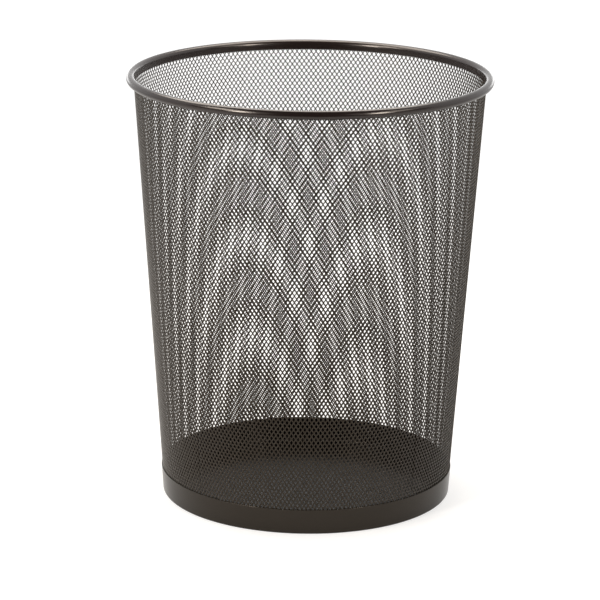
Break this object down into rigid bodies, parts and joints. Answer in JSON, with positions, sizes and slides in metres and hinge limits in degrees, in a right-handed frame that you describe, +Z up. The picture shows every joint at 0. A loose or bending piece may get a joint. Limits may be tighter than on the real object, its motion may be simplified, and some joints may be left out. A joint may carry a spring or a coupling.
{
  "type": "mesh wastebasket",
  "caption": "Round tapered mesh wastebasket: open expanded-mesh wall between a rolled tube rim and a solid banded base with a pressed floor.",
  "frame": {"origin": "on the ground at the centre of the base", "axes": "+Z up along the basket's axis, towards the open rim; +X and +Y are level, and the shape is the same all round"},
  "size_m": [0.3, 0.2999, 0.355],
  "materials": {
    "mesh": "satin near-black powder coat on expanded steel mesh",
    "rim": "satin near-black powder coat on a rolled steel tube",
    "base": "satin near-black powder coat on pressed steel sheet"
  },
  "bodies": {
    "root": {"mesh_wall": "mesh", "rolled_rim": "rim", "base_pan": "base", "base_band": "base"}
  },
  "joints": []
}
